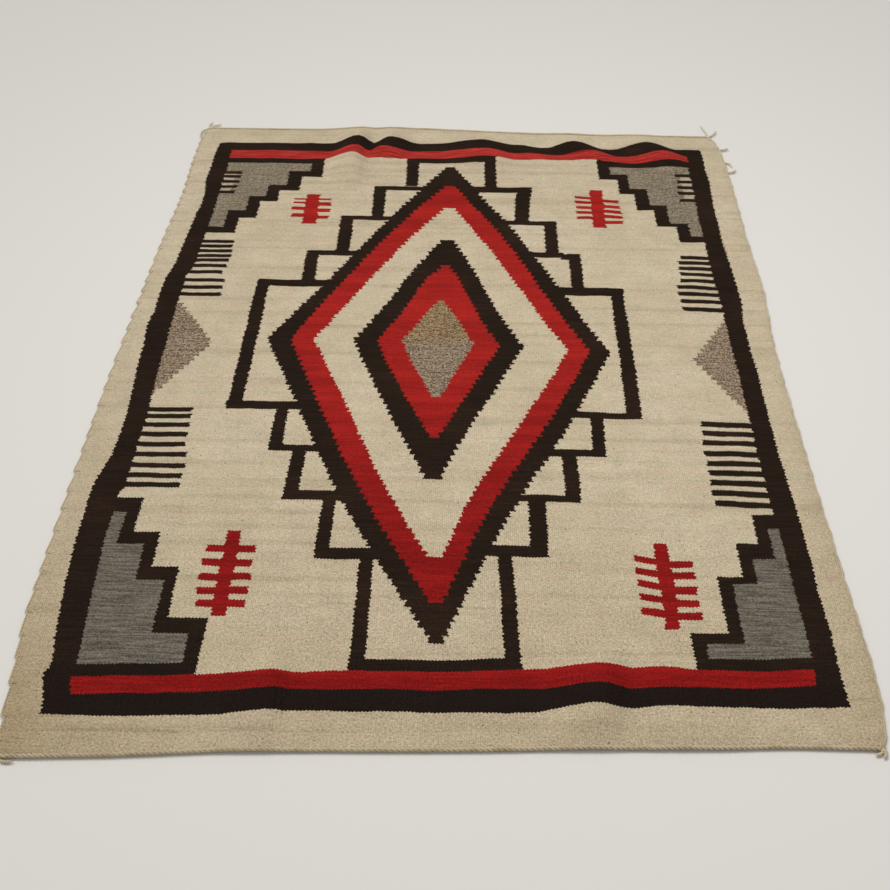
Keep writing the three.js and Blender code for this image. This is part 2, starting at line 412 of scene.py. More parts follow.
def makeStudio():
    scene = bpy.context.scene
    scene.view_settings.view_transform = "Standard"
    world = bpy.data.worlds.new("studio")
    world.use_nodes = True
    background = world.node_tree.nodes["Background"]
    background.inputs["Color"].default_value = view["worldColour"]
    background.inputs["Strength"].default_value = view["world"]
    scene.world = world
    makeLights()
    mesh = bpy.data.meshes.new("floor")
    far = view["floorReach"]
    corners = [(-far, -far, -mm), (far, -far, -mm), (far, far, -mm), (-far, far, -mm)]
    mesh.from_pydata(corners, [], [(0, 1, 2, 3)])
    floor = bpy.data.objects.new("floor", mesh)
    bpy.context.collection.objects.link(floor)
    material, recipe = newMaterial("paleFloor")
    inputs = {"Base Color": view["floorColour"], "Roughness": view["floorRoughness"]}
    shader = recipe.node("ShaderNodeBsdfPrincipled", None, inputs)
    recipe.node("ShaderNodeOutputMaterial", None, {"Surface": shader.outputs[0]})
    mesh.materials.append(material)


makeCamera()
makeStudio()
print("camera and studio set")


# The woven figures, in millimetres on the flat cloth. Every bar is left, right, low, high, and
# some lean: that much to the right for each millimetre up.
figures = {
    # where two wefts turn back along an upright edge: fine steps, and coarse ones towards the far end
    "edgeTeeth": {"pitch": 6.9, "reach": 1.3, "column": 13, "shift": 0.37, "drift": 0.3, "ragged": 2.6},
    "coarseTeeth": {
        "pitch": 15.5, "nearReach": 1.0, "farReach": 1.5, "column": 19, "shift": 0.61, "drift": 0.4,
        "from": -600, "to": 300,
    },
    # where a weft starts over pairs of warps
    "rowTeeth": {"pitch": 5.1, "reach": 0.9, "row": 9, "shift": 0.29, "ragged": 1.2},
    "handDrift": {"length": 70, "reach": 3.0},
    "readFrom": (18.6, -1569.8, 1348.6),  # the sizes were read on the floor's level from here
    "readHeight": 3.75,
    "barSpread": 0.6,  # the thin bars' wool swells over its neighbours
    "bandLeftOuter": [
        (759, -547), (607, -556), (540, -551), (470, -554), (400, -559), (280, -567), (250, -572),
        (200, -577), (140, -577), (90, -581), (40, -577), (-60, -572), (-200, -567), (-245, -569),
        (-290, -577), (-340, -583), (-440, -582), (-500, -578), (-560, -573), (-630, -566), (-677, -560),
        (-683, -566), (-704, -562), (-732, -555), (-753, -553),
    ],
    "bandLeftInner": [
        (705, -517), (400, -521), (320, -523), (270, -529), (240, -535), (60, -535), (-60, -533),
        (-160, -530), (-325, -530), (-345, -538), (-440, -537), (-520, -533), (-600, -528), (-690, -520),
    ],
    "bandRightInner": [
        (705, 521), (640, 518), (300, 515), (160, 517), (-260, 517), (-365, 518), (-380, 520),
        (-690, 523),
    ],
    "bandRightOuter": [
        (752, 552), (700, 558), (600, 557), (400, 553), (200, 558), (120, 552), (40, 552), (-40, 553),
        (-140, 552), (-300, 555), (-450, 558), (-720, 558),
    ],
    "farOuter": [
        (-560, 759), (-280, 762), (0, 765), (150, 758), (205, 752), (256, 756), (353, 746), (430, 751),
        (500, 749), (560, 749),
    ],
    "farRedUpper": [
        (-560, 726), (-310, 727), (-250, 723), (-150, 726), (-60, 730), (30, 727), (150, 725), (240, 719),
        (340, 718), (430, 713), (520, 718), (560, 718),
    ],
    "farRedLower": [
        (-560, 692), (-310, 693), (-150, 694), (-60, 698), (50, 697), (150, 698), (205, 697), (290, 696),
        (350, 689), (560, 686),
    ],
    "nearRedUpper": [
        (-560, -692), (-353, -686), (-260, -682), (-200, -678), (-140, -675), (0, -674), (60, -671),
        (127, -666), (210, -663), (300, -661), (360, -665), (450, -664), (500, -660), (560, -659),
    ],
    "nearRedLower": [
        (-560, -722), (-400, -716), (-260, -711), (-200, -706), (-100, -705), (0, -704), (60, -701),
        (260, -696), (393, -694), (480, -688), (560, -685),
    ],
    "nearOuter": [
        (-560, -754), (-420, -753), (-340, -751), (-260, -747), (-190, -741), (60, -739), (127, -736),
        (200, -730), (300, -727), (480, -723), (560, -721),
    ],
    "redStripe": (-519, 521),
    # how the near stripe's left and right ends slant: y from, y to, and the shift
    "leftShifts": [(-690, -720, 7), (-600, -690, -7)],
    "rightShifts": [(-664, -694, -4)],
    "farStrip": {"wide": 20, "low": 600, "high": 800, "runs": [(-530, -302), (-115, 87), (317, 530)]},
    "nearStrip": {"wide": 20, "low": -800, "high": -600, "runs": [(-530, -353), (-138, 107), (355, 530)]},
    "boxes": [  # left, right, low, high, lean
        (-113, -86, 583, 704, 0), (-180, -154, 460, 581, 0), (-245, -217, 333, 465, 0),
        (-304, -278, 232, 337, 0), (-393, -367, -134, 237, 0.008), (-308, -285, -239, -120, 0),
        (-269, -245, -342, -228, 0.02), (-206, -184, -470, -335, 0.03), (-136, -114, -673, -450, 0),
        (-180, -45, 565, 582, 0), (-245, -100, 450, 465, 0), (-304, -175, 321, 338, 0),
        (-390, -230, 216, 238, 0), (-397, -255, -139, -118, 0), (-308, -205, -241, -225, 0),
        (-271, -160, -351, -330, 0), (-206, -92, -473, -450, 0), (61, 87, 575, 704, 0),
        (127, 159, 448, 582, 0.09), (185, 212, 331, 453, 0), (231, 256, 212, 336, 0),
        (306, 332, -150, 222, 0), (241, 263, -244, -135, 0), (188, 213, -347, -228, 0),
        (128, 156, -460, -333, 0), (81, 104, -670, -440, -0.045), (20, 161, 560, 583, 0),
        (75, 210, 437, 453, 0), (130, 222, 321, 340, 0), (216, 256, 314, 334, 0),
        (180, 332, 196, 222, 0), (200, 332, -151, -135, 0), (150, 263, -245, -228, 0),
        (100, 212, -348, -333, 0), (50, 156, -463, -440, 0), (-136, 107, -675, -655, 0),
    ],
    # corner terraces: sign of x and y towards the corner, then rows of (x, y) where the grey and
    # the dark reach to
    "terraces": [
        (-1, 1, [(-329, 640), (-375, 581), (-415, 536), (-451, 481), (-489, 419)],
         [(-300, 616), (-345, 560), (-387, 517), (-424, 453), (-461, 396)]),
        (1, 1, [(342, 641), (380, 582), (417, 518), (453, 450), (490, 404)],
         [(315, 619), (355, 560), (387, 498), (423, 438), (463, 381)]),
        (-1, -1, [(-373, -617), (-428, -520), (-473, -448), (-516, -383)],
         [(-351, -588), (-410, -493), (-452, -424), (-495, -351)]),
        (1, -1, [(375, -619), (431, -509), (469, -460), (504, -397)],
         [(355, -600), (409, -495), (449, -429), (483, -368)]),
    ],
    "combs": [  # the bars hang on root, and each has its tip and its middle height
        {"root": -545, "thick": 10.4, "slant": 0.0, "bars": [
            (-480, 631), (-481, 615), (-482, 594), (-483, 573), (-484, 552),
        ]},
        {"root": 540, "thick": 11, "slant": -0.03, "bars": [
            (485, 637), (486, 612), (485, 589), (484, 567), (482, 539),
        ]},
        {"root": -545, "thick": 10.3, "slant": 0.0, "bars": [
            (-458, 365), (-459, 348), (-458, 331), (-456, 314), (-457, 299), (-459, 280),
            (-465, 259), (-456, 232), (-457, 209), (-457, 187),
        ]},
        {"root": 540, "thick": 11.3, "slant": -0.06, "bars": [
            (460, 328), (452, 310), (450, 291), (450, 271), (448, 249), (440, 227), (438, 206),
            (440, 183), (440, 159),
        ]},
        {"root": -545, "thick": 10.5, "slant": 0.0, "bars": [
            (-452, -143), (-452, -160), (-451, -182), (-451, -205), (-450, -229), (-444, -253),
            (-441, -279), (-443, -302), (-443, -323),
        ]},
        {"root": 540, "thick": 12, "slant": -0.04, "bars": [
            (431, -161), (431, -183), (428, -206), (427, -232), (428, -255), (428, -277),
            (428, -299), (428, -322), (429, -345),
        ]},
    ],
    "combGrounds": [(-540, -495, 553, 631), (495, 525, 540, 634)],  # paler wool between the bars
    "groundShare": 0.6,
    # grey half-lozenges: where they hang on, apex x and y, and how far up and down they reach
    "halfLozenges": [(-537, -449, 40, 132, 156), (519, 442, 7, 124, 145)],
    # crosses: the post as left, right, low, high, and the arms as left, right, middle height,
    # thickness and slant
    "crosses": [
        {"post": (-325, -296, 433, 545), "arms": [
            (-352, -300, 526, 6, 0), (-352, -300, 512, 7, 0), (-354, -300, 490, 13, 0),
            (-351, -300, 464, 14, 0), (-310, -271, 527, 7, 0), (-310, -270, 508, 14, 0),
            (-310, -270, 484, 14, 0), (-310, -272, 458, 12, 0),
        ]},
        {"post": (290, 318, 431, 574), "arms": [
            (257, 300, 543, 10, -0.1), (256, 300, 525, 11, -0.1), (257, 300, 505, 11, -0.1),
            (256, 300, 486, 11, -0.1), (257, 300, 467, 10, 0), (310, 352, 531, 12, -0.1),
            (310, 353, 510, 12, -0.1), (310, 353, 491, 12, -0.1), (310, 353, 472, 12, -0.1),
            (310, 353, 451, 12, 0),
        ]},
        {"post": (-348, -326, -584, -418), "arms": [
            (-376, -340, -456, 14, 0), (-377, -340, -483, 14, 0), (-376, -340, -511, 14, 0),
            (-376, -340, -537, 14, 0), (-374, -340, -561, 14, 0), (-335, -299, -456, 14, 0),
            (-335, -300, -484, 14, 0), (-335, -299, -510, 14, 0), (-335, -299, -536, 14, 0),
            (-335, -300, -560, 14, 0),
        ]},
        {"post": (320, 342, -595, -431), "arms": [
            (287, 330, -466, 13, -0.22), (287, 330, -490, 13, -0.2), (288, 330, -514, 14, -0.22),
            (288, 330, -540, 13, -0.2), (288, 330, -566, 14, -0.2), (330, 376, -473, 14, 0),
            (330, 377, -495, 14, 0), (330, 376, -523, 15, 0), (330, 376, -547, 14, 0),
            (330, 378, -571, 14, 0.05),
        ]},
    ],
    # nested lozenges from the outside in: tone, half of the blunt tip, then the top, left, right and
    # bottom corners, and how far each side bulges and sways: upper left, upper right, lower left,
    # lower right
    "lozenges": [
        ("dark", 8, (663, -347, 290, -626), (0.15, 0.07, 0.16, 0.05), (4, 0, 3, -6)),
        ("red", 9, (585, -303, 253, -553), (0.30, 0.08, 0.16, 0.02), (3, 2.5, 1, -6)),
        ("cream", 10, (497, -260, 213, -465), (0.19, 0.0, 0.06, -0.02), (4, 1, 2.4, -4)),
        ("dark", 12, (380, -187, 131, -302), (0.04, -0.06, 0.11, -0.07), (4, 1.5, 0, -2)),
        ("red", 5, (292, -142, 88, -203), (0.07, -0.05, 0.2, 0.05), (5, 4, 0, 0)),
        ("grey", 6, (176, -95, 39, -101), (-0.05, -0.05, 0.15, 0.1), (1, 1, 0, 0)),
    ],
    "lozengeCentre": (-28, 52),
    "lozengeTilt": 0.085,  # the right corners sit lower
    # the middle line leans to the right towards both tips: y from, y to, and how far
    "lozengeSways": [(60, 420, 13), (-260, -640, 15)],
    "roughRise": 0.1,  # the steps of one lozenge are this much higher or lower than another's
    "halfRise": 13.0,
    "serration": {"rise": 12.8, "hook": 1.0, "jitter": 2.6},
}

tones = {"cream": (0, 0, 0, 1), "dark": (1, 0, 0, 1), "red": (0, 1, 0, 1), "grey": (0, 0, 1, 1)}

wool = {
    "cream": paint(197, 182, 155),
    "creamPale": paint(211, 198, 174),
    "creamSoiled": paint(162, 144, 116),
    # the cream in painted shade, where the light falls off
    "creamShadedNear": paint(168, 149, 118),
    "creamRosy": paint(200, 178, 152),
    "creamGreenish": paint(187, 178, 147),
    "speck": paint(120, 96, 70),
    "dark": paint(36, 27, 21),
    "darkBrown": paint(47, 34, 25),
    "darkNear": paint(33, 25, 21),
    "red": paint(169, 38, 33),
    "redDeep": paint(143, 31, 28),
    "redFar": paint(186, 62, 55),
    "redNear": paint(150, 29, 27),
    "redNearDeep": paint(122, 23, 22),
    "greyLight": paint(172, 152, 128),
    "greyBrown": paint(174, 147, 110),
    "greyDark": paint(74, 60, 47),
    "cornerLight": paint(158, 145, 124),
    "cornerDark": paint(92, 82, 68),
    "nearLight": paint(126, 118, 105),
    "nearDark": paint(80, 75, 67),
    "warpPitch": 3.15,
    "weftPitch": 2.3,
    "twinePitch": 9.5,
    "twineRows": [(9, 0.9, 3.2), (15.5, -0.9, 3.0)],  # distance from the end, lean, reach
    "slit": {"at": 0.985, "core": 0.012, "edge": 0.03, "ends": 14, "fades": 5},
    "patchShift": 60,  # how far a patch moves the line of the painted shade at the sides
    "streakWaves": (5, 14),
    "mostSoil": 0.8,
    "specksApart": 40,
    "brownHalfMiddle": -20,
    "weaveDepth": 0.55,
}
# how strongly each thing darkens or lightens the colour, and how high it stands in the bump; grain, mottle,
# streak and blotch are the wool's own uneven tone, rib and bead are painted highlights on the raised weave,
# slit is painted shade in the notches' slits
shades = {
    "base": 0.9, "grain": 0.5, "mottle": 0.26, "streak": 0.34, "blotch": 0.2, "rib": 0.08,
    "bead": 0.08, "slit": 0.6,
}
heights = {"rib": 0.5, "bead": 0.4, "grain": 0.8, "mottle": 0.9}

# grey or brown streaks of single wefts: left, right, middle height, half height, strength
streaks = [
    (-605, -350, -781, 3.4, 0.85), (-320, -120, -776, 2.2, 0.25), (-195, -128, -559, 2.5, 0.4),
    (12, 78, -562, 3.0, 0.5), (118, 168, -568, 2.0, 0.3), (-420, -225, 436, 2.4, 0.4),
    (-300, -262, 330, 2.0, 0.25), (-60, 25, 447, 2.6, 0.4), (-90, 40, 470, 1.8, 0.2),
    (230, 420, -640, 2.4, 0.3), (200, 330, -655, 1.8, 0.22), (-470, -330, 480, 2.0, 0.2),
    (140, 400, -255, 1.6, 0.2), (560, 600, 215, 1.6, 0.4), (540, 600, 60, 1.5, 0.35),
    (-330, -190, 640, 2.0, 0.2), (-520, -380, -374, 2.0, 0.22), (240, 430, 380, 1.8, 0.2),
]
streakFade = {"outer": 6, "inner": 25, "core": 0.3}  # the ends fade in and out over these

# The wool's unevenness, as noises: size across, size along, detail, seed
noises = {
    "ragged": (14, 4.5, 0.0, 21.0),
    "wavy": (8, 14, 0.0, 23.0),
    "streak": (60, 3.1, 2.0, 1.0),
    "grain": (3.4, 2.7, 1.0, 5.0),
    "mottle": (9, 5, 1.0, 6.0),
    "band": (900, 22, 1.0, 8.0),
    "patch": (190, 120, 1.0, 11.0),
    "hue": (26, 18, 1.0, 31.0),
    "blotch": (60, 36, 1.0, 33.0),
    "fleck": (3.3, 3.0, 1.0, 41.0),
}

# How the wools change: where a change starts, where it is full, and how strong it is. The wide
# numbers are places in millimetres on the rug, and those from 0 to 1 are values of a noise.
changes = {
    "palePatches": (0.35, 0.75, 0.35),
    "rosy": (0.5, 0.7, 0.5),
    "greenish": (0.5, 0.3, 0.5),
    # painted shade: the cream darkens towards the near end, the sides and the near-left corner, where the
    # light falls off
    "shadeToNear": (-200, -950, 0.44),
    "shadeSides": (520, 640, 0.25),
    "shadeSidesAlong": (350, -450, 1),
    "shadeCorner": (-330, -620, 0.4),
    "shadeCornerAlong": (-500, -800, 1),
    "soiledStreaks": (0.52, 0.8, 0.45),
    "soiledBands": (0.52, 0.75, 0.3),
    "speckEdge": (0.015, 0.045, 1),
    "speckPlaces": (0.4, 0.6, 1),
    "brownStreaks": (0.4, 0.7, 0.5),
    "brownPatches": (0.45, 0.7, 0.5),
    "blackToNear": (-640, -700, 1),
    "deepRows": (0.38, 0.62, 1),
    "redToNear": (120, -560, 1),
    "redToFar": (560, 730, 1),
    "fleckFine": (0.42, 0.58, 0.7),
    "fleckCoarse": (0.4, 0.6, 0.3),
    "greyRows": (0.35, 0.65, 1),
    "cornerAcross": (300, 330, 1),
    "cornerAlong": (300, 340, 1),
    "greyToNear": (-250, -400, 1),
    "brownHalf": (30, 64, 1),
    "brownHalfAcross": (150, 130, 1),
    "fluffToNear": (0, -760, 0.5),
    "stitchShadePlaces": (0.38, 0.6, 0.14),
}


def barMask(x, y, bars):  # the sum of upright and level bars
    total = None
    for left, right, low, high, *lean in bars:
        placeX = x
        if lean and lean[0]:
            placeX = x - (y - (low + high) / 2) * lean[0]
        inX = placeX.between(left, right)
        inY = y.between(low, high)
        total = inX * inY if total is None else inX.times(inY, total)
    return total


def terraceMask(x, y, signX, signY, rows):
    total = None
    for edgeX, edgeY in rows:
        inX = x > edgeX if signX > 0 else x < edgeX
        inY = y > edgeY if signY > 0 else y < edgeY
        total = inX * inY if total is None else inX.times(inY, total)
    return total


def combMask(x, y, comb):
    root, bars, slant = comb["root"], comb["bars"], comb["slant"]
    level = y - (x - bars[0][0]) * slant if slant else y
    reach = comb["thick"] / 2 + figures["barSpread"]
    rows = [(min(tip, root), max(tip, root), middle - reach, middle + reach) for tip, middle in bars]
    return barMask(x, level, rows)


def crossMask(x, y, cross):
    total = barMask(x, y, [cross["post"]])
    for left, right, middle, thick, slant in cross["arms"]:
        level = (x - (left + right) / 2).times(-slant, y) if slant else y
        inX = x.between(left, right)
        total = inX.times(level.between(middle - thick / 2, middle + thick / 2), total)
    return total


def stepDown(recipe, depth, rise, seed):  # depth from a tip, counted in woven steps
    teeth = figures["serration"]
    turn = depth / rise
    step = turn.floor()
    hook = (turn - step - 0.5) * teeth["hook"]
    jitter = (recipe.chance(step + seed) - 0.5) * teeth["jitter"]
    return (step + 0.5) * rise, jitter - hook


def lozengeMask(recipe, x, y, row, order):
    flat, (top, left, right, bottom), bulges, sways = row[1:]
    centreX, centreY = figures["lozengeCentre"]
    (farFrom, farTo, farShift), (nearFrom, nearTo, nearShift) = figures["lozengeSways"]
    middleX = y.part(farFrom, farTo, farShift) + y.part(nearFrom, nearTo, nearShift) + centreX
    away = x - middleX
    toRight = away > 0
    middleY = away.most(0) * -figures["lozengeTilt"] + centreY
    above = y > middleY
    depth = above.pick(top - y, y - bottom)
    tall = above.pick(top - middleY, middleY - bottom)
    rise = figures["serration"]["rise"] * (1 + figures["roughRise"] * math.sin(2.4 * order))
    seed = above * 31 + toRight * 57 + order * 7  # other random numbers on each side of each lozenge
    stepped, ragged = stepDown(recipe, depth, rise, seed)
    share = (stepped / tall).least(1)
    wide = toRight.times(right - 2 * centreX + left, centreX - left - flat)
    bulge, sway = [
        above.pick(toRight.times(b - a, a), toRight.times(d - c, c)) for a, b, c, d in (bulges, sways)
    ]
    swollen = share * ((1 - share) * bulge + 1)
    edge = swollen * wide + flat + (share * (2 * math.pi)).sine() * sway
    return (abs(away) - ragged < edge) * (depth > 0)


def halfLozengeMask(recipe, x, y, row):
    root, apexX, apexY, up, down = row
    above = y > apexY
    depth = above.pick(apexY + up - y, y - (apexY - down))
    stepped, ragged = stepDown(recipe, depth, figures["halfRise"], above * 17 + 3)
    tall = above.times(up - down, down)
    return (abs(x - root) - ragged < stepped / tall * abs(apexX - root)) * (depth > 0)


def fieldTones(recipe, x, y):  # the figures inside the border band
    def laid(under, mask, tone):
        return recipe.mix(mask, under, tones[tone])

    tone = tones["cream"]
    for signX, signY, grey, dark in figures["terraces"]:
        tone = laid(tone, terraceMask(x, y, signX, signY, dark), "dark")
        tone = laid(tone, terraceMask(x, y, signX, signY, grey), "grey")
    for row in figures["halfLozenges"]:
        tone = laid(tone, halfLozengeMask(recipe, x, y, row), "grey")
    for ground in figures["combGrounds"]:
        tone = laid(tone, barMask(x, y, [ground]) * figures["groundShare"], "cream")
    for comb in figures["combs"]:
        tone = laid(tone, combMask(x, y, comb), "dark")
    tone = laid(tone, barMask(x, y, figures["boxes"]), "dark")
    for cross in figures["crosses"]:
        tone = laid(tone, crossMask(x, y, cross), "red")
    for order, row in enumerate(figures["lozenges"]):
        tone = laid(tone, lozengeMask(recipe, x, y, row, order), row[0])
    return tone


def stripMask(x, y, inStrip, strip):  # the dark strip along a red stripe, where it isn't cut off
    runs = [(left, right, strip["low"], strip["high"]) for left, right in strip["runs"]]
    return inStrip * barMask(x, y, runs)


def figureTones(recipe, x, y):  # the tone of each place, as dark, red and grey in three channels
    def line(name, at):
        return recipe.line(figures[name], at)

    farRedLower = line("farRedLower", x)
    nearRedUpper = line("nearRedUpper", x)
    inOuter = (x > line("bandLeftOuter", y)) * (x < line("bandRightOuter", y))
    inOuter = inOuter * (y < line("farOuter", x)) * (y > line("nearOuter", x))
    inField = (x > line("bandLeftInner", y)) * (x < line("bandRightInner", y))
    inField = inField * (y < farRedLower) * (y > nearRedUpper)

    farStrip = stripMask(x, y, y > farRedLower - figures["farStrip"]["wide"], figures["farStrip"])
    nearStrip = stripMask(x, y, y < nearRedUpper + figures["nearStrip"]["wide"], figures["nearStrip"])
    tone = recipe.mix(farStrip + nearStrip, fieldTones(recipe, x, y), tones["dark"])
    redFar = (y < line("farRedUpper", x)) * (y > farRedLower)
    redNear = (y > line("nearRedLower", x)) * (y < nearRedUpper)
    left, right = figures["redStripe"]
    for start, stop, shift in figures["leftShifts"]:
        left = y.part(start, stop, shift) + left
    for start, stop, shift in figures["rightShifts"]:
        right = y.part(start, stop, shift) + right
    outerTone = recipe.mix(inOuter, tones["cream"], tones["dark"])
    outerTone = recipe.mix((redFar + redNear) * (x > left) * (x < right), outerTone, tones["red"])
    return recipe.mix(inField, outerTone, tone)


def beads(x, y):  # ribs over the warps, and on each rib the weft's beads, half a step apart
    rib = x / wool["warpPitch"]
    odd = rib.floor() - (rib * 0.5).floor() * 2
    ribTop = 1 - (rib - rib.floor() - 0.5) ** 2 * 4
    turn = y / wool["weftPitch"] + odd * 0.5
    bead = 1 - (turn - turn.floor() - 0.5) ** 2 * 4
    return ribTop, bead


def twineShade(recipe, x, y):  # slanting stitches of the last rows at both ends, 1 where a stitch is deep, for painted shade in the stitches' grooves
    fromNear = y - recipe.line(rug["nearEnd"], x)
    fromFar = recipe.line(rug["farEnd"], x) - y
    inward = fromNear.least(fromFar)
    total = None
    for middle, lean, reach in wool["twineRows"]:
        across = (inward - middle).times(lean, x) / wool["twinePitch"] + middle
        stroke = 1 - across.zigzag().ramp(0.12, 0.45)
        row = stroke * (1 - abs(inward - middle).ramp(reach * 0.55, reach))
        total = row if total is None else total + row
    return total


def slitShade(recipe, x, y):  # slits that run in from the notches of the left edge, 1 where painted shade darkens them
    turn = scallopTurn(y, lambda value: value.most(0), Number.sine)
    share = turn - turn.floor()
    inward = x - recipe.line(rug["leftSide"], y)
    slit = wool["slit"]
    across = 1 - abs(share - slit["at"]).ramp(slit["core"], slit["edge"])
    return across * inward.ramp(slit["ends"], slit["fades"])


def streakMask(x, y):
    total = None
    outer, inner = streakFade["outer"], streakFade["inner"]
    for left, right, middle, reach, strength in streaks:
        inX = x.ramp(left - outer, left + inner) * x.ramp(right + outer, right - inner)
        inY = 1 - abs(y - middle).ramp(reach * streakFade["core"], reach)
        total = inX * inY * strength if total is None else (inX * inY).times(strength, total)
    return total


def objectPlace(recipe):  # x and y in millimetres
    place = recipe.node("ShaderNodeTexCoord").outputs["Object"]
    parts = recipe.node("ShaderNodeSeparateXYZ", None, {0: place})
    return [Number(recipe, parts.outputs[axis]) * 1000 for axis in (0, 1)]


def wovenPlace(recipe, x, y, noise):  # where the figures are read, with the steps of the weave
    eyeX, eyeY, eyeZ = figures["readFrom"]
    raised = figures["readHeight"] / eyeZ
    flatX = x.times(1 + raised, -eyeX * raised)
    flatY = y.times(1 + raised, -eyeY * raised)
    drift = figures["handDrift"]
    place = recipe.vector(x / drift["length"], y / drift["length"])
    inputs = {"Vector": place, "Scale": 1.0, "Detail": 3.0}
    driftNoise = recipe.node("ShaderNodeTexNoise", {"noise_dimensions": "2D"}, inputs)
    parts = recipe.node("ShaderNodeSeparateXYZ", None, {0: driftNoise.outputs["Color"]})
    driftX = (Number(recipe, parts.outputs[0]) - 0.5) * (2 * drift["reach"])
    driftY = (Number(recipe, parts.outputs[1]) - 0.5) * (2 * drift["reach"])

    edge, coarse, row = figures["edgeTeeth"], figures["coarseTeeth"], figures["rowTeeth"]
    fineTurn = y / edge["pitch"] + (x / edge["column"]).floor() * edge["shift"]
    fine = (fineTurn + driftX * edge["drift"]).zigzag() - 0.5
    coarseTurn = y / coarse["pitch"] + (x / coarse["column"]).floor() * coarse["shift"]
    wide = (coarseTurn + driftY * coarse["drift"]).zigzag() - 0.5
    grows = y.ramp(coarse["from"], coarse["to"])
    wideReach = grows.times(2 * (coarse["farReach"] - coarse["nearReach"]), 2 * coarse["nearReach"])
    rowTurn = (x / row["pitch"] + (y / row["row"]).floor() * row["shift"]).zigzag() - 0.5
    ragged = (noise("ragged") - 0.5) * edge["ragged"]
    wovenX = flatX + driftX + fine * (2 * edge["reach"]) + wide * wideReach + ragged
    wovenY = flatY + driftY + rowTurn * (2 * row["reach"]) + (noise("wavy") - 0.5) * row["ragged"]
    return wovenX, wovenY


def creamWool(recipe, x, y, noise):
    streak, mottle, band, patch, hue = [noise(name) for name in ("streak", "mottle", "band", "patch", "hue")]
    cream = recipe.mix(patch.part(*changes["palePatches"]), wool["cream"], wool["creamPale"])
    cream = recipe.mix(hue.part(*changes["rosy"]), cream, wool["creamRosy"])
    cream = recipe.mix(hue.part(*changes["greenish"]), cream, wool["creamGreenish"])
    # painted shade: darker towards the near end, the sides and the near-left corner, where the light falls
    # off
    sides = (abs(x) + patch * wool["patchShift"]).part(*changes["shadeSides"])
    falloffShade = y.part(*changes["shadeToNear"]) + sides * y.part(*changes["shadeSidesAlong"])
    falloffShade = falloffShade + x.part(*changes["shadeCorner"]) * y.part(*changes["shadeCornerAlong"])
    cream = recipe.mix(falloffShade.least(1), cream, wool["creamShadedNear"])
    thinWaves = y + (mottle - 0.5) * wool["streakWaves"][0] + (patch - 0.5) * wool["streakWaves"][1]
    soil = streak.part(*changes["soiledStreaks"]) + band.part(*changes["soiledBands"])
    soil = soil + streakMask(x, thinWaves)
    cream = recipe.mix(soil.least(wool["mostSoil"]), cream, wool["creamSoiled"])
    apart = wool["specksApart"]
    specks = 1 - recipe.dots(x / apart, y / apart, 2.0).part(*changes["speckEdge"])
    return recipe.mix(specks * mottle.part(*changes["speckPlaces"]), cream, wool["speck"])


def darkWool(recipe, y, noise):
    brown = noise("streak").part(*changes["brownStreaks"]) + noise("patch").part(*changes["brownPatches"])
    dark = recipe.mix(brown, wool["dark"], wool["darkBrown"])
    return recipe.mix(y.part(*changes["blackToNear"]), dark, wool["darkNear"])


def redWool(recipe, y, noise):
    rows = (noise("streak") * 0.6 + noise("band") * 0.4).part(*changes["deepRows"])
    toNear = y.part(*changes["redToNear"])
    light = recipe.mix(toNear, wool["red"], wool["redNear"])
    light = recipe.mix(y.part(*changes["redToFar"]), light, wool["redFar"])
    deep = recipe.mix(toNear, wool["redDeep"], wool["redNearDeep"])
    return recipe.mix(rows, light, deep)


def greyWool(recipe, x, y, noise):  # carded from light and dark wool, browner away from the corners
    toNear = y.part(*changes["greyToNear"])
    inCorner = abs(x).part(*changes["cornerAcross"]) * abs(y).part(*changes["cornerAlong"])
    cornerLight = recipe.mix(toNear, wool["cornerLight"], wool["nearLight"])
    cornerDark = recipe.mix(toNear, wool["cornerDark"], wool["nearDark"])
    light = recipe.mix(inCorner, wool["greyLight"], cornerLight)
    dark = recipe.mix(inCorner, wool["greyDark"], cornerDark)
    fromMiddle = abs(x - wool["brownHalfMiddle"])
    inBrownHalf = y.part(*changes["brownHalf"]) * fromMiddle.part(*changes["brownHalfAcross"])
    light = recipe.mix(inBrownHalf, light, wool["greyBrown"])
    fleck = noise("fleck").part(*changes["fleckFine"]) + noise("mottle").part(*changes["fleckCoarse"])
    rows = noise("streak").part(*changes["greyRows"])
    return recipe.mix(fleck * toNear.times(-0.35, 0.8) + rows * toNear.times(0.3, 0.2), dark, light)


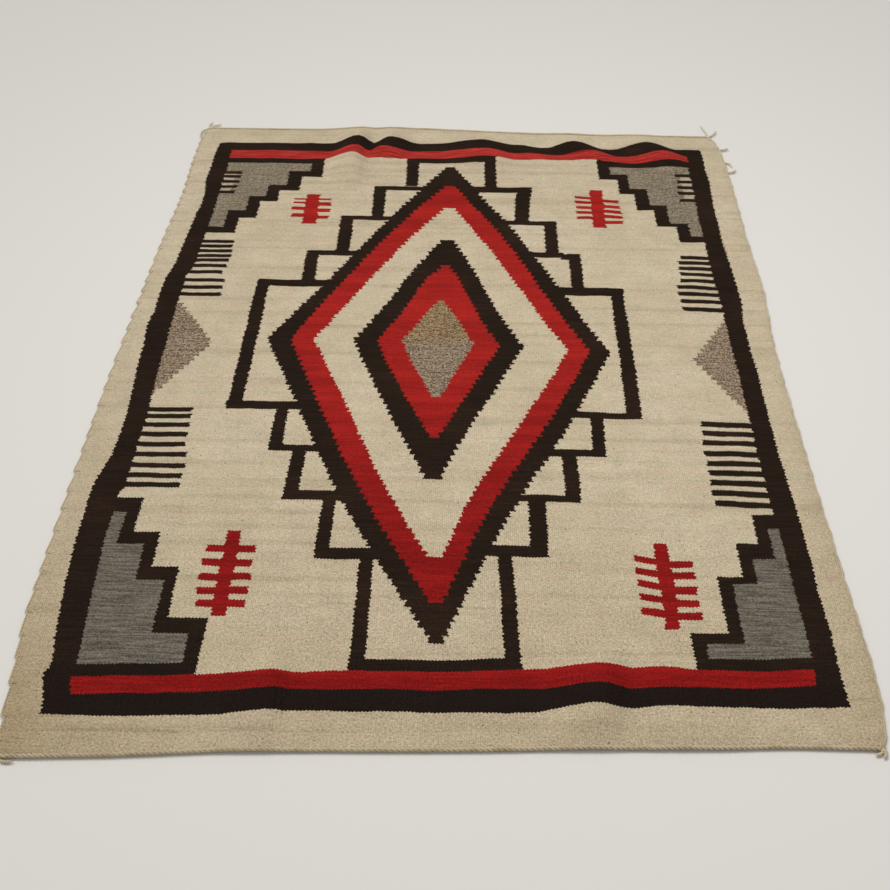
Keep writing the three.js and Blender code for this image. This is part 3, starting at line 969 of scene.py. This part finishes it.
def rugMaterial():
    material, recipe = newMaterial("rugWool")
    x, y = objectPlace(recipe)
    made = {}

    def noise(name):  # each noise is made once
        if name not in made:
            across, along, detail, seed = noises[name]
            made[name] = recipe.noise(x / across, y / along, detail, seed)
        return made[name]

    tone = figureTones(recipe, *wovenPlace(recipe, x, y, noise))
    toneParts = recipe.node("ShaderNodeSeparateXYZ", None, {0: tone})
    dark, red, grey = [Number(recipe, socket) for socket in toneParts.outputs]
    colour = recipe.mix(dark, creamWool(recipe, x, y, noise), darkWool(recipe, y, noise))
    colour = recipe.mix(red, colour, redWool(recipe, y, noise))
    colour = recipe.mix(grey, colour, greyWool(recipe, x, y, noise))

    ribTop, bead = beads(x, y)
    grain, mottle = noise("grain"), noise("mottle")
    fluff = y.part(*changes["fluffToNear"]) + shades["grain"]  # the wool is fluffier at the near end
    shade = (grain - 0.5) * fluff + (mottle - 0.5) * shades["mottle"]
    shade = shade + (noise("streak") - 0.5) * shades["streak"] + (noise("blotch") - 0.5) * shades["blotch"]
    # painted highlight: the rib tops and the beads are lighter in the colour, besides standing higher in the
    # bump
    shade = shade + ribTop * shades["rib"] + bead * shades["bead"]
    # painted shade in the deep grooves of the twined stitches at both ends
    shade = shade - twineShade(recipe, x, y) * mottle.part(*changes["stitchShadePlaces"])
    # painted shade in the slits at the left edge's notches
    shade = shade - slitShade(recipe, x, y) * shades["slit"] + shades["base"]
    height = ribTop * heights["rib"] + bead * heights["bead"]
    height = height + grain * heights["grain"] + mottle * heights["mottle"]
    finishMaterial(recipe, recipe.tint(colour, shade), height, wool["weaveDepth"] * mm)
    return material


# The cords' wool: two shades, and how soil, grain and nearness to the near end bring out the second
cordLook = {
    "edgeLight": paint(208, 195, 168),
    "edgeDeep": paint(176, 158, 128),
    "endLight": paint(222, 210, 184),
    "endDeep": paint(180, 163, 134),
    "grainSize": 1.1,
    "soilSize": 30,
    "soiled": (0.4, 0.75, 0.5),
    "grainy": (0.45, 0.75, 0.35),
    "deeperToNear": (100, -700, 0.4),
    "depth": 0.25,
}


def cordMaterial(name, light, deep):
    material, recipe = newMaterial(name)
    x, y = objectPlace(recipe)
    grain = recipe.noise(x / cordLook["grainSize"], y / cordLook["grainSize"], 2.0, 1.0)
    soil = recipe.noise(x / cordLook["soilSize"], y / cordLook["soilSize"], 2.0, 4.0)
    deepShare = soil.part(*cordLook["soiled"]) + grain.part(*cordLook["grainy"]) + y.part(*cordLook["deeperToNear"])
    finishMaterial(recipe, recipe.mix(deepShare.least(1), light, deep), grain, cordLook["depth"] * mm)
    return material


rugWool = rugMaterial()
cordWool = cordMaterial("cordWool", cordLook["edgeLight"], cordLook["edgeDeep"])
endWool = cordMaterial("cordEndWool", cordLook["endLight"], cordLook["endDeep"])
print("materials made:", len(rugWool.node_tree.nodes), "nodes in the rug's")


# The cloth: one closed sheet on the rug's outline and folds
clothGrid = {
    "wide": 1210,
    "long": 1630,
    "column": 11.2,
    "row": 5.1,
    "rim": [0, 0.8, 2.2],
    "rimDrop": [0.62, 0.2, 0.0],
    "topDrop": 0.7,  # shares of the rim's drop, above and below
    "lowDrop": 0.3,
    "notchLong": 1640,  # the left side, in which the notches are looked for
    "notchSteps": 40000,
    "notchRows": (-0.4, 2.2),
    "notchClear": 0.9,  # other rows keep this far from a notch's rows
}


def gridStops(length, cell):  # shares of the way along, with two narrow cells at each rim
    rim = [step / length for step in clothGrid["rim"]]
    inner = np.linspace(rim[-1], 1 - rim[-1], int(length / cell))
    return np.array(rim[:-1] + list(inner) + [1 - step for step in reversed(rim[:-1])])


def rimDrop(count):  # how much of the thickness each rim line loses
    drop = np.zeros(count)
    drop[:3] = clothGrid["rimDrop"]
    drop[-3:] = clothGrid["rimDrop"][::-1]
    return drop


def notchStops(rows):  # more rows beside each notch of the left edge
    length = clothGrid["notchLong"]
    start = readTable(rug["nearEnd"], -rug["halfWidth"])
    y = start + length * np.linspace(0.01, 0.99, clothGrid["notchSteps"])
    turn = np.floor(edgeTurn(y))
    places = (y[1:][turn[1:] != turn[:-1]] - y[0]) / length + 0.01
    extra = [place + shift / length for place in places for shift in clothGrid["notchRows"]]
    clear = clothGrid["notchClear"] / length
    kept = [stop for stop in rows if min(abs(stop - other) for other in extra) > clear]
    return np.array(sorted(kept + extra))


def makeCloth():
    columns = gridStops(clothGrid["wide"], clothGrid["column"])
    rows = notchStops(gridStops(clothGrid["long"], clothGrid["row"]))
    across, along = np.meshgrid(columns, rows)
    x, y = rugPoint(across, along, rug["sideCord"] / 2, rug["endCord"] / 2)
    drop = np.maximum(rimDrop(len(columns))[None, :], rimDrop(len(rows))[:, None])
    under = foldHeight(x, y) + swell(x, y)
    top = under + rug["thickness"] * (1 - drop * clothGrid["topDrop"])
    low = under + rug["thickness"] * drop * clothGrid["lowDrop"]
    count = across.size
    layers = [np.stack([x, y, level], 2).reshape(-1, 3) for level in (top, low)]
    places = np.concatenate(layers) * mm
    wide, long = len(columns), len(rows)
    index = np.arange(count).reshape(long, wide)
    a, b, c, d = index[:-1, :-1], index[:-1, 1:], index[1:, 1:], index[1:, :-1]
    upper = np.stack([a, b, c, d], 2).reshape(-1, 4)
    lower = np.stack([a, d, c, b], 2).reshape(-1, 4) + count
    loop = np.concatenate([index[0, :-1], index[:-1, -1], index[-1, :0:-1], index[:0:-1, 0]])
    after = np.roll(loop, -1)
    walls = np.stack([loop + count, after + count, after, loop], 1)
    mesh = bpy.data.meshes.new("rugCloth")
    mesh.from_pydata(places.tolist(), [], np.concatenate([upper, lower, walls]).tolist())
    mesh.materials.append(rugWool)
    mesh.polygons.foreach_set("use_smooth", [True] * len(mesh.polygons))
    cloth = bpy.data.objects.new("rugCloth", mesh)
    bpy.context.collection.objects.link(cloth)
    return cloth


cloth = makeCloth()
print("cloth woven:", len(cloth.data.polygons), "faces")


# Cords of twisted plies, made by one geometry tree that follows a path
cords = {
    "sideEdge": {"Ply Radius": 1.0, "Ply Offset": 0.8, "Twist Pitch": 11.0, "Plies": 2, "Step": 1.2},
    "endEdge": {
        "Ply Radius": 1.55, "Ply Offset": 1.5, "Twist Pitch": 15.0, "Plies": 2, "Step": 1.5,
        "Uneven": 0.7,
    },
    "looseEnd": {
        "Ply Radius": 1.2, "Ply Offset": 1.0, "Twist Pitch": 9.0, "Plies": 2, "Step": 0.9,
        "Taper": 0.15,
    },
    "knot": {"Ply Radius": 1.0, "Ply Offset": 0.7, "Twist Pitch": 8.0, "Plies": 2, "Step": 0.7},
}


# The plies' shape: lumps per metre and between plies, and how a loose end narrows
plyLook = {
    "lumpsEach": 160, "lumpsApart": 9.7, "taperFrom": 0.7, "taper": 3, "thinnest": 0.2, "sides": 8,
}


def makeCordTree():
    tree = bpy.data.node_groups.new("twistedCord", "GeometryNodeTree")
    recipe = Recipe(tree)
    tree.interface.new_socket("Geometry", in_out="INPUT", socket_type="NodeSocketGeometry")
    for name in ("Ply Radius", "Ply Offset", "Twist Pitch", "Step", "Taper", "Uneven"):
        tree.interface.new_socket(name, in_out="INPUT", socket_type="NodeSocketFloat")
    tree.interface.new_socket("Plies", in_out="INPUT", socket_type="NodeSocketInt")
    tree.interface.new_socket("Wool", in_out="INPUT", socket_type="NodeSocketMaterial")
    tree.interface.new_socket("Geometry", in_out="OUTPUT", socket_type="NodeSocketGeometry")
    entry = recipe.node("NodeGroupInput").outputs

    def number(name):
        return Number(recipe, entry[name])

    def geometry(kind, settings, inputs):
        return recipe.node(kind, settings, inputs).outputs[0]

    def vectors(operation, inputs):
        return geometry("ShaderNodeVectorMath", {"operation": operation}, inputs)

    asLengths = {"Curve": entry["Geometry"], "Length": entry["Step"]}
    even = geometry("GeometryNodeResampleCurve", {"mode": "LENGTH"}, asLengths)
    level = geometry("GeometryNodeSetCurveNormal", {"mode": "Z_UP"}, {"Curve": even})
    onePerPly = {"Geometry": level, "Amount": entry["Plies"]}
    copies = recipe.node("GeometryNodeDuplicateElements", {"domain": "SPLINE"}, onePerPly)
    spline = recipe.node("GeometryNodeSplineParameter").outputs
    length = Number(recipe, spline["Length"])
    ply = Number(recipe, copies.outputs["Duplicate Index"])
    angle = (length / number("Twist Pitch") + ply / number("Plies")) * (2 * math.pi)
    side = geometry("GeometryNodeInputNormal", None, {})
    ahead = geometry("GeometryNodeInputTangent", None, {})
    up = vectors("CROSS_PRODUCT", {0: ahead, 1: side})
    offset = number("Ply Offset")
    sideways = vectors("SCALE", {0: side, "Scale": angle.maths("COSINE") * offset})
    upwards = vectors("SCALE", {0: up, "Scale": angle.sine() * offset})
    move = vectors("ADD", {0: sideways, 1: upwards})
    moved = geometry("GeometryNodeSetPosition", None, {"Geometry": copies.outputs[0], "Offset": move})
    lumps = recipe.noise(length * plyLook["lumpsEach"], ply * plyLook["lumpsApart"], 2.0, 1.0)
    share = Number(recipe, spline["Factor"])
    narrow = 1 - share.ramp(plyLook["taperFrom"], 1.0) * number("Taper") * plyLook["taper"]
    radius = (1 + (lumps - 0.5) * number("Uneven")) * narrow.most(plyLook["thinnest"])
    thick = geometry("GeometryNodeSetCurveRadius", None, {"Curve": moved, "Radius": radius})
    ring = {"Resolution": plyLook["sides"], "Radius": entry["Ply Radius"]}
    circle = geometry("GeometryNodeCurvePrimitiveCircle", None, ring)
    along = {"Curve": thick, "Profile Curve": circle, "Fill Caps": True}
    tube = recipe.node("GeometryNodeCurveToMesh", None, along)
    if "Scale" in tube.inputs:
        tree.links.new(radius.socket, tube.inputs["Scale"])
    shaded = geometry("GeometryNodeSetShadeSmooth", None, {"Geometry": tube.outputs[0]})
    real = geometry("GeometryNodeRealizeInstances", None, {"Geometry": shaded})
    dressed = geometry("GeometryNodeSetMaterial", None, {"Geometry": real, "Material": entry["Wool"]})
    recipe.node("NodeGroupOutput", None, {0: dressed})
    return tree


cordTree = makeCordTree()


def makeCord(name, paths, values, material):  # paths hold points in millimetres
    curve = bpy.data.curves.new(name + "Path", "CURVE")
    curve.dimensions = "3D"
    for path in paths:
        spline = curve.splines.new("POLY")
        spline.points.add(len(path) - 1)
        for point, place in zip(spline.points, path):
            point.co = (*[float(value) * mm for value in place], 1)
    guide = bpy.data.objects.new(name + "Path", curve)
    bpy.context.collection.objects.link(guide)
    modifier = guide.modifiers.new("cord", "NODES")
    modifier.node_group = cordTree
    items = cordTree.interface.items_tree
    sockets = {item.name: item.identifier for item in items if item.in_out == "INPUT"}
    settings = {"Taper": 0.0, "Uneven": 0.35, **values}
    for key in ("Ply Radius", "Ply Offset", "Twist Pitch", "Step"):
        settings[key] = settings[key] * mm
    for key, value in settings.items():
        modifier[sockets[key]] = value
    modifier[sockets["Wool"]] = material
    bpy.context.view_layer.update()
    evaluated = guide.evaluated_get(bpy.context.evaluated_depsgraph_get())
    mesh = bpy.data.meshes.new_from_object(evaluated)
    mesh.name = name
    bpy.data.objects.remove(guide)
    cord = bpy.data.objects.new(name, mesh)
    bpy.context.collection.objects.link(cord)
    return cord


# How the edge cords lie. They are lifted a little, since the plies are uneven and none of them
# sinks into the floor.
cordLay = {"lift": 0.35, "swellShare": 0.3, "sidePoints": 1500, "endPoints": 500}


def sidePath(across, sideInset):
    along = np.linspace(0, 1, cordLay["sidePoints"])
    return rugPoint(across + 0 * along, along, sideInset, rug["endCord"] + rug["seamGap"])


def layCord(x, y, radius):  # points at the cord's middle, over the floor and the folds
    z = foldHeight(x, y) + swell(x, y) * cordLay["swellShare"] + radius + cordLay["lift"]
    return np.stack([x, y, z], 1)


def cordRadius(values):
    return values["Ply Radius"] + values["Ply Offset"]


def makeSideCords():
    values = cords["sideEdge"]
    radius = cordRadius(values)
    sides = (("sideCordLeft", 0, "side_cord_left"), ("sideCordRight", 1, "side_cord_right"))
    for name, across, node in sides:
        x, y = sidePath(across, radius)
        yield makeCord(name, [layCord(x, y, radius)], values, cordWool), node


def makeEndCords():
    values = cords["endEdge"]
    radius = cordRadius(values)
    ends = (("endCordNear", 0, "end_cord_near"), ("endCordFar", 1, "end_cord_far"))
    for name, along, node in ends:
        across = np.linspace(0, 1, cordLay["endPoints"])
        x, y = rugPoint(across, along + 0 * across, rug["sideCord"] + rug["seamGap"], radius)
        yield makeCord(name, [layCord(x, y, radius)], values, cordWool), node


# Knots at the corners and the loose ends that leave them: points from the knot, in millimetres
cornerEnds = {
    "knotShift": 0.8,
    "knotSize": 2.1,
    "knotSpread": 0.42,
    "knotMiddle": 3.0,
    "knotWave": 1.1,
    "rootHeight": 3.0,
    "strayRoot": 2.4,
    "clearance": 0.1,  # under a loose end
    "ends": {
        ("farRight", "cord_ends_far_right", 1, 1): [[(-4, 25), (-11, 50)], [(12, 12), (22, 28)]],
        ("farLeft", "cord_ends_far_left", 0, 1): [
            [(-2, 15), (3, 29)], [(11, 13), (24, 20)], [(-14, -11), (-16, -29), (-11, -45)],
        ],
        ("nearRight", "cord_ends_near_right", 1, 0): [[(-6, -6), (-13, -8)], [(1, -7), (-3, -12)]],
        ("nearLeft", "cord_ends_near_left", 0, 0): [[(-7, -4), (-9, -11)], [(9, -6), (22, -6)]],
    },
    "strays": [(744, [(13, 2), (22, 8)]), (690, [(12, -4), (14, -16)]), (648, [(12, 3), (21, 11)])],
}


def curvePoints(places, count):  # a smooth line through a few places
    places = np.array(places, float)
    padded = np.concatenate([[2 * places[0] - places[1]], places, [2 * places[-1] - places[-2]]])
    points = []
    for step in np.linspace(0, len(places) - 1.0001, count):
        leg = int(step)
        t = step - leg
        a, b, c, d = padded[leg:leg + 4]
        square = 2 * a - 5 * b + 4 * c - d
        cube = 3 * b - a - 3 * c + d
        points.append(0.5 * (2 * b + (c - a) * t + square * t * t + cube * t ** 3))
    return np.array(points)


def endPath(rootX, rootY, bends, rootHeight):
    flat = curvePoints([(0, 0)] + list(bends), 40)
    share = np.linspace(0, 1, len(flat))
    radius = cordRadius(cords["looseEnd"])
    sinking = (rootHeight - radius) * (1 - smooth(share * 3))
    waves = 0.8 * np.sin(share * 9) ** 2 * share
    z = radius + cornerEnds["clearance"] + sinking + waves
    return np.stack([flat[:, 0] + rootX, flat[:, 1] + rootY, z], 1)


def knotPath(x, y):  # a trefoil, pulled tight
    turn = np.linspace(0, 2 * math.pi, 90)
    size = cornerEnds["knotSize"] * cornerEnds["knotSpread"]
    across = (np.sin(turn) + 2 * np.sin(2 * turn)) * size
    along = (np.cos(turn) - 2 * np.cos(2 * turn)) * size
    height = cornerEnds["knotMiddle"] - np.sin(3 * turn) * cornerEnds["knotWave"]
    return np.stack([x + across, y + along, height], 1)


def makeCorners():
    sideInset, endInset = [rug[cord] / 2 - cornerEnds["knotShift"] for cord in ("sideCord", "endCord")]
    for (name, node, across, along), ends in cornerEnds["ends"].items():
        x, y = rugPoint(np.array([float(across)]), np.array([float(along)]), sideInset, endInset)
        x, y = float(x[0]), float(y[0])
        paths = [endPath(x, y, bends, cornerEnds["rootHeight"]) for bends in ends]
        loose = makeCord(name + "Ends", paths, cords["looseEnd"], endWool)
        knot = makeCord(name + "Knot", [knotPath(x, y)], cords["knot"], endWool)
        yield knot, loose, node


def makeStrays():
    paths = []
    root = cornerEnds["strayRoot"]
    for y, bends in cornerEnds["strays"]:
        x = float(insetLine(rug["rightSide"], np.array([float(y)]), -root)[0])
        paths.append(endPath(x, y, bends, root))
    return makeCord("sideStrays", paths, cords["looseEnd"], endWool)


sideCords = list(makeSideCords())
endCords = list(makeEndCords())
corners = list(makeCorners())
strays = makeStrays()
print("cords twisted")


# Every piece rides on the one body and stands for its solid
def dress(piece, node):
    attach(piece, "root")
    if node:
        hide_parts(node)


dress(cloth, "rug_cloth")
for cord, node in sideCords + endCords:
    dress(cord, node)
for knot, loose, node in corners:
    dress(knot, node)
    dress(loose, None)
dress(strays, None)
onCloth = [cord for cord, node in sideCords + endCords]
for knot, loose, node in corners:
    onCloth += [knot, loose]
onCloth + [strays]

print("pieces ride on the frame")
